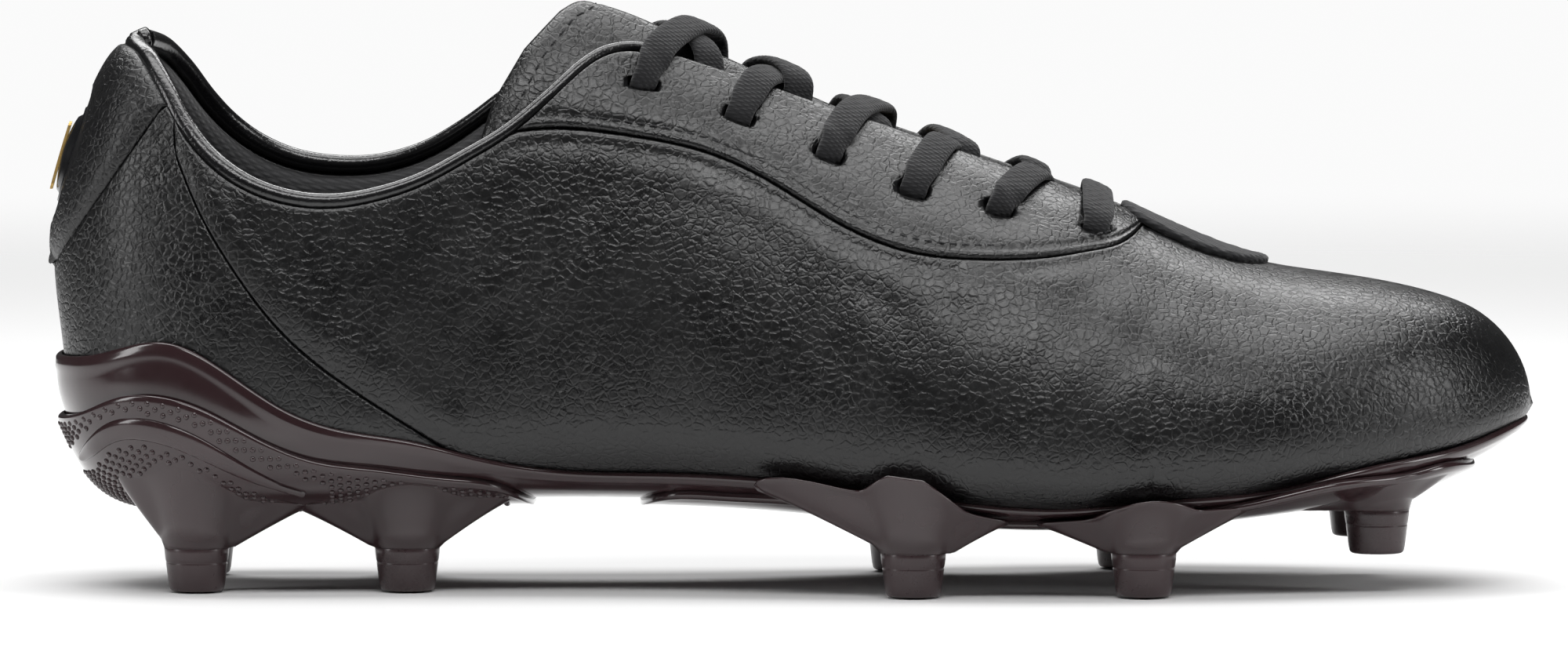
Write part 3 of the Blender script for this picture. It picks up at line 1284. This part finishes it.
def lace_pass(row, side, upper):
    """Control points (place, normal or None in an eyelet, width) from an eyelet to the next one opposite."""
    x0, y0 = eyelet_at(row, side)
    x1, y1 = eyelet_at(row + 1, -side)
    run = math.hypot(x1 - x0, y1 - y0)
    ux, uy = (x1 - x0) / run, (y1 - y0) / run
    slot = np.interp((x0 + x1) / 2, [x for x, _ in THROAT], [half for _, half in THROAT])
    above = tongue_depth((x0 + x1) / 2) - 0.4 - LACE_THICKNESS / 2
    if upper:
        above -= LACE_THICKNESS + 0.15
    near_edge = (abs(y0) - slot) / uy * side * -1
    far_edge = run - (abs(y1) - slot) / abs(uy)
    stops = OUT_OF_EYELET + (
        (near_edge, OVER, LACE_WIDTH, True), (run / 2, above, LACE_WIDTH, True),
        (0.45 * run / 2 + 0.55 * far_edge, above + 0.25, LACE_WIDTH, True),
        (far_edge - 1.0, UNDER - 0.55, LACE_WIDTH, True),
        (run - 4.8, UNDER, LACE_WIDTH, True), (run - 1.7, UNDER - 0.2, 5.2, False),
        (run - 0.5, UNDER - 1.0, LACE_PINCHED, False), (run, 2.6, LACE_PINCHED, False))
    return lace_points(x0, y0, ux, uy, stops)


def lace_points(x, y, ux, uy, stops):
    points = []
    for along, depth, width, flat in stops:
        place, n = surface_point(x + ux * along, y + uy * along, depth)
        points.append((place, n if flat else None, width))
    return points


def lace_bar():
    """The bar across the toe end of the throat."""
    (x0, y0), (x1, y1) = eyelet_at(5, 1), eyelet_at(5, -1)
    middle, n = surface_point(x0, centre_y(x0), OVER)
    first, second = lace_points(x0, y0, 0, -1, OUT_OF_EYELET), lace_points(x1, y1, 0, 1, OUT_OF_EYELET)
    return first + [(middle, n, LACE_WIDTH)] + second[::-1]


TAIL = ((121.5, 71), (119, 79.5), (116.3, 88))


def lace_tail(side):
    points = []
    for x, z in TAIL:
        place = wall_point(x, z, side, 5.4)
        n = normals_of(place, 5.4)
        points.append((place, n, LACE_WIDTH))
    x0, y0 = eyelet_at(0, side)
    for dx, dy, depth, width in ((1.6, 4.4, UNDER + 0.3, LACE_WIDTH), (0.6, 1.7, UNDER - 0.2, 5.2),
                                 (0.2, 0.5, UNDER - 1.0, LACE_PINCHED), (0, 0, 2.6, LACE_PINCHED)):
        place, n = surface_point(x0 + dx, y0 + side * dy, depth)
        points.append((place, n if dy > 4 else None, width))
    return points


def whole_lace():
    points = lace_tail(-1)
    side = -1
    for row in range(5):
        points += lace_pass(row, side, True)
        side = -side
    points += lace_bar()
    side = -1
    for row in (4, 3, 2, 1, 0):
        points += lace_pass(row, -side, False)[::-1]
        side = -side
    return points + lace_tail(1)[::-1]


LACE_STEP = 0.45


def build_lace():
    """One flat braided lace through every eyelet, from tucked end to tucked end."""
    controls = whole_lace()
    places = np.array([c[0] for c in controls])
    samples, widths, wanted = [], [], []
    p = with_ends(places)
    for i in range(1, len(p) - 2):
        n = max(2, int(round(np.linalg.norm(p[i + 1] - p[i]) / LACE_STEP)))
        samples += list(between(p[i - 1:i + 3], np.arange(n) / n))
        _, na, wa = controls[i - 1]
        _, nb, wb = controls[i]
        for j in range(n):
            f = j / n
            widths.append((1 - f) * wa + f * wb)
            both = na is not None and nb is not None
            wanted.append((1 - f) * na + f * nb if both else na if j == 0 else None)
    samples.append(places[-1])
    widths.append(controls[-1][2])
    wanted.append(controls[-1][1])
    samples, widths = np.array(samples), np.array(widths)
    run = run_along(samples)
    across, directions, alongs = None, [], []
    for i in range(len(samples)):
        before, after = samples[max(0, i - 1)], samples[min(len(samples) - 1, i + 1)]
        along = (after - before) / np.linalg.norm(after - before)
        if wanted[i] is not None:
            flat = np.cross(along, wanted[i])
            flat /= np.linalg.norm(flat)
            if across is not None and np.dot(flat, across) < 0:
                flat = -flat
            across = flat
        across = across - np.dot(across, along) * along
        across /= np.linalg.norm(across)
        directions.append(across)
        alongs.append(along)
    directions, alongs = np.array(directions), np.array(alongs)
    # Spread the turns at the eyelets over a few millimetres so that the flat lace rolls over smoothly.
    for _ in range(12):
        middle = directions.copy()
        middle[1:-1] = (directions[:-2] + 2 * directions[1:-1] + directions[2:]) / 4
        middle -= np.sum(middle * alongs, 1, keepdims=True) * alongs
        directions = middle / np.linalg.norm(middle, axis=1, keepdims=True)
    up = np.cross(directions, alongs)
    ring = 28
    turns = np.linspace(0, 2 * math.pi, ring, endpoint=False)
    c, s = np.cos(turns), np.sin(turns)
    u = np.sign(c) * np.abs(c) ** 0.7
    v = np.sign(s) * np.abs(s) ** 0.75
    half = widths[:, None] / 2
    place_across = u[None] * half
    # Braid: strands cross over each other in two slanting sets.
    phase_a = (run[:, None] + place_across * 0.9) * 2 * math.pi / 1.5
    phase_b = (run[:, None] - place_across * 0.9) * 2 * math.pi / 1.5
    relief = 0.10 * (np.sin(phase_a) * np.sin(phase_b)) * np.abs(v)[None] ** 0.5
    thick = (LACE_THICKNESS / 2 + 0.3 * (LACE_WIDTH - widths[:, None])) * v[None]
    thick = thick + np.sign(v)[None] * relief
    vertices = directions[:, None] * place_across[..., None] + up[:, None] * thick[..., None] + samples[:, None]
    obj = new_object("lace_flat", vertices.reshape(-1, 3), ring_faces(len(samples), ring), LACE)
    place_piece(obj, "boot", ("lace",))
    return run[-1]


print("lace length", round(build_lace()))


# ---- badge and marks ----
def build_badge():
    """A domed oval badge on the heel tab."""
    rings, segments = 14, 48
    vertices = []
    for i in range(rings + 1):
        r = i / rings
        for k in range(segments):
            a = 2 * math.pi * k / segments
            y, z = 6.5 * r * math.cos(a), 82.0 + 9.5 * r * math.sin(a)
            lo, hi = 0.0, 60.0
            for _ in range(26):
                m = (lo + hi) / 2
                lo, hi = (m, hi) if level(np.array([m, y, z]), 0.0) > 0 else (lo, m)
            q = np.array([hi, y, z])
            n = normals_of(q, 0.0)
            height = 0.35 + 1.5 * math.sqrt(max(0.0, 1 - r**2)) - 0.7 * math.exp(-((r - 0.82) / 0.06) ** 2)
            vertices.append(q + n * height)
    for k in range(segments):
        y, z = 6.5 * math.cos(2 * math.pi * k / segments), 82.0 + 9.5 * math.sin(2 * math.pi * k / segments)
        vertices.append(vertices[rings * segments + k] + np.array([1.6, 0, 0]))
    faces = ring_faces(rings + 2, segments, caps=False)
    faces.append(tuple(range((rings + 1) * segments, (rings + 2) * segments)))
    obj = new_object("heel_badge_dome", np.array(vertices), faces, BADGE, merge=1e-5)
    place_piece(obj, "boot", ("heel_badge",))


build_badge()
for material, nodes in ((GOLD, ("heel_mark", "tongue_mark")), (BADGE, ("aglet_lateral", "aglet_medial")),
                        (HIDDEN, ("heel_stiffener", "toe_puff", "lasting_board", "bottom_filler", "shank"))):
    for node in nodes:
        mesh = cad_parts[node].data
        mesh.materials.clear()
        mesh.materials.append(material)


# ---- patch at the tongue's root ----
PATCH = [(204.5, 0), (208, 8.5), (216, 11), (226, 9.5), (232, 4)]


def build_patch():
    """The tongue's root: a soft rounded tab laid over the vamp, thinned at its edge."""
    outline = [(x, -half) for x, half in PATCH] + [(x, half) for x, half in PATCH[:0:-1]]
    pts = np.array([(x, centre_y(x) + y) for x, y in outline])
    loop = spline_path(np.concatenate([pts, pts[:3]])[:, [0, 1]].tolist(), 0.8)[:, :2]
    centre = np.array([218.0, centre_y(218)])
    angle = np.arctan2(loop[:, 1] - centre[1], loop[:, 0] - centre[0])
    radius = np.hypot(loop[:, 1] - centre[1], loop[:, 0] - centre[0])
    turns = np.linspace(-math.pi, math.pi, 96, endpoint=False)
    order = np.argsort(angle)
    angle, radius = angle[order], radius[order]
    around = np.concatenate([angle - 2 * math.pi, angle, angle + 2 * math.pi])
    reach = np.interp(turns, around, np.tile(radius, 3)) + rng.normal(0, 0.10, len(turns))
    vertices = []
    levels = (0.02, 0.15, 0.3, 0.45, 0.6, 0.72, 0.82, 0.9, 0.95, 0.985, 1.0)
    for k in levels:
        for a, r in zip(turns, reach):
            x, y = centre[0] + math.cos(a) * r * k, centre[1] + math.sin(a) * r * k
            place, n = surface_point(x, y, 0.0)
            edge = (1 - k) * r
            h = 1.55 - 0.55 * (1 - min(1, edge / 0.8)) ** 2 + 0.10 * math.sin(x * 1.3) * math.sin(y * 1.1)
            vertices.append(place + n * h)
    for k in (1.0, 0.6):
        for a, r in zip(turns, reach):
            x, y = centre[0] + math.cos(a) * r * k, centre[1] + math.sin(a) * r * k
            place, n = surface_point(x, y, 0.0)
            vertices.append(place + n * 0.1)
    obj = new_object("tongue_root", np.array(vertices), ring_faces(len(levels) + 2, len(turns)), TONGUE)
    place_piece(obj, "boot", ("tongue_root_patch",))


build_patch()

# ---- floor, light and camera ----
FLOOR_RADIUS = 3.0
FADE_FROM, FADE_TO = 0.5, 1.5    # metres from the middle over which the floor fades into the surroundings


def build_stage():
    """A pale round floor that fades out into the plain pale surroundings, the same from every side."""
    turns = np.linspace(0, 2 * math.pi, 96, endpoint=False)
    rings = (0.3, 0.8, 1.6, FLOOR_RADIUS)
    points = [(0, 0, -0.0003)] + [(r * math.cos(a), r * math.sin(a), -0.0003) for r in rings for a in turns]
    count = len(turns)
    faces = [(0, 1 + j, 1 + (j + 1) % count) for j in range(count)]
    faces += [face[::-1] for face in ring_faces(len(rings), count, caps=False, offset=1)]
    mesh = bpy.data.meshes.new("floor")
    mesh.from_pydata(points, [], faces)
    floor = bpy.data.objects.new("floor", mesh)
    bpy.context.scene.collection.objects.link(floor)
    n = Nodes("floor_mat")
    n.link(n.mix(n.noise(3, 2), rgb(0.86, 0.86, 0.86), rgb(0.9, 0.9, 0.9)), "Base Color")
    n.set(Roughness=0.6, Specular_IOR_Level=0.2)
    tree = n.material.node_tree
    output = next(node for node in tree.nodes if node.type == "OUTPUT_MATERIAL")
    shader = output.inputs["Surface"].links[0].from_socket
    place = tree.nodes.new("ShaderNodeNewGeometry")
    reach = tree.nodes.new("ShaderNodeVectorMath")
    reach.operation = "LENGTH"
    tree.links.new(place.outputs["Position"], reach.inputs[0])
    fade = tree.nodes.new("ShaderNodeMapRange")
    fade.interpolation_type = "SMOOTHSTEP"
    fade.inputs["From Min"].default_value = FADE_FROM
    fade.inputs["From Max"].default_value = FADE_TO
    tree.links.new(reach.outputs["Value"], fade.inputs["Value"])
    clear = tree.nodes.new("ShaderNodeBsdfTransparent")
    blend = tree.nodes.new("ShaderNodeMixShader")
    tree.links.new(fade.outputs["Result"], blend.inputs["Fac"])
    tree.links.new(shader, blend.inputs[1])
    tree.links.new(clear.outputs["BSDF"], blend.inputs[2])
    tree.links.new(blend.outputs["Shader"], output.inputs["Surface"])
    mesh.materials.append(n.material)


def area_light(name, place, target, size, energy, colour=(1, 1, 1)):
    data = bpy.data.lights.new(name, "AREA")
    data.shape = "RECTANGLE"
    data.size, data.size_y = size
    data.energy = energy
    data.color = colour
    obj = bpy.data.objects.new(name, data)
    bpy.context.scene.collection.objects.link(obj)
    obj.location = place
    obj.rotation_mode = "QUATERNION"
    obj.rotation_quaternion = (Vector(target) - Vector(place)).to_track_quat("-Z", "Y")
    return obj


build_stage()
area_light("top_softbox", (0.0, 0.10, 1.25), (0, 0, 0.04), (1.5, 0.6), 13)
area_light("front_softbox", (0.05, -0.75, 1.05), (0, 0, 0.05), (1.1, 0.30), 8)
area_light("toe_side", (1.15, -0.35, 0.55), (0.10, 0, 0.05), (0.30, 0.8), 4.5)
area_light("heel_side", (-1.15, -0.35, 0.50), (-0.12, 0, 0.05), (0.25, 0.8), 3.6)
area_light("rear_softbox", (-0.05, 0.85, 0.95), (0, 0, 0.05), (1.3, 0.35), 9)
world = bpy.data.worlds.new("world")
bpy.context.scene.world = world
world.use_nodes = True
# Plain pale surroundings that light the boot only softly.
SEEN, CAST = 0.96, 0.045
background = world.node_tree.nodes["Background"]
background.inputs["Color"].default_value = rgb(1, 1, 1)
rays = world.node_tree.nodes.new("ShaderNodeLightPath")
strength = world.node_tree.nodes.new("ShaderNodeMapRange")
strength.inputs["To Min"].default_value = CAST
strength.inputs["To Max"].default_value = SEEN
world.node_tree.links.new(rays.outputs["Is Camera Ray"], strength.inputs["Value"])
world.node_tree.links.new(strength.outputs["Result"], background.inputs["Strength"])
bpy.context.scene.view_settings.view_transform = "Standard"

# The camera stands level with the boot's side, a long way off, 3.5 degrees above the horizon.
DISTANCE, ELEVATION = 2.6, math.radians(3.5)
camera = bpy.data.objects.new("camera", bpy.data.cameras.new("camera"))
bpy.context.scene.collection.objects.link(camera)
aim = Vector((-0.0018, 0.0, 0.0486))
back = Vector((0, -math.cos(ELEVATION), math.sin(ELEVATION)))
camera.location = aim + back * DISTANCE
camera.rotation_mode = "QUATERNION"
camera.rotation_quaternion = (-back).to_track_quat("-Z", "Y")
camera.data.sensor_width = 36
camera.data.lens = 36 * DISTANCE / 0.301
camera.data.clip_start = 0.05
bpy.context.scene.camera = camera
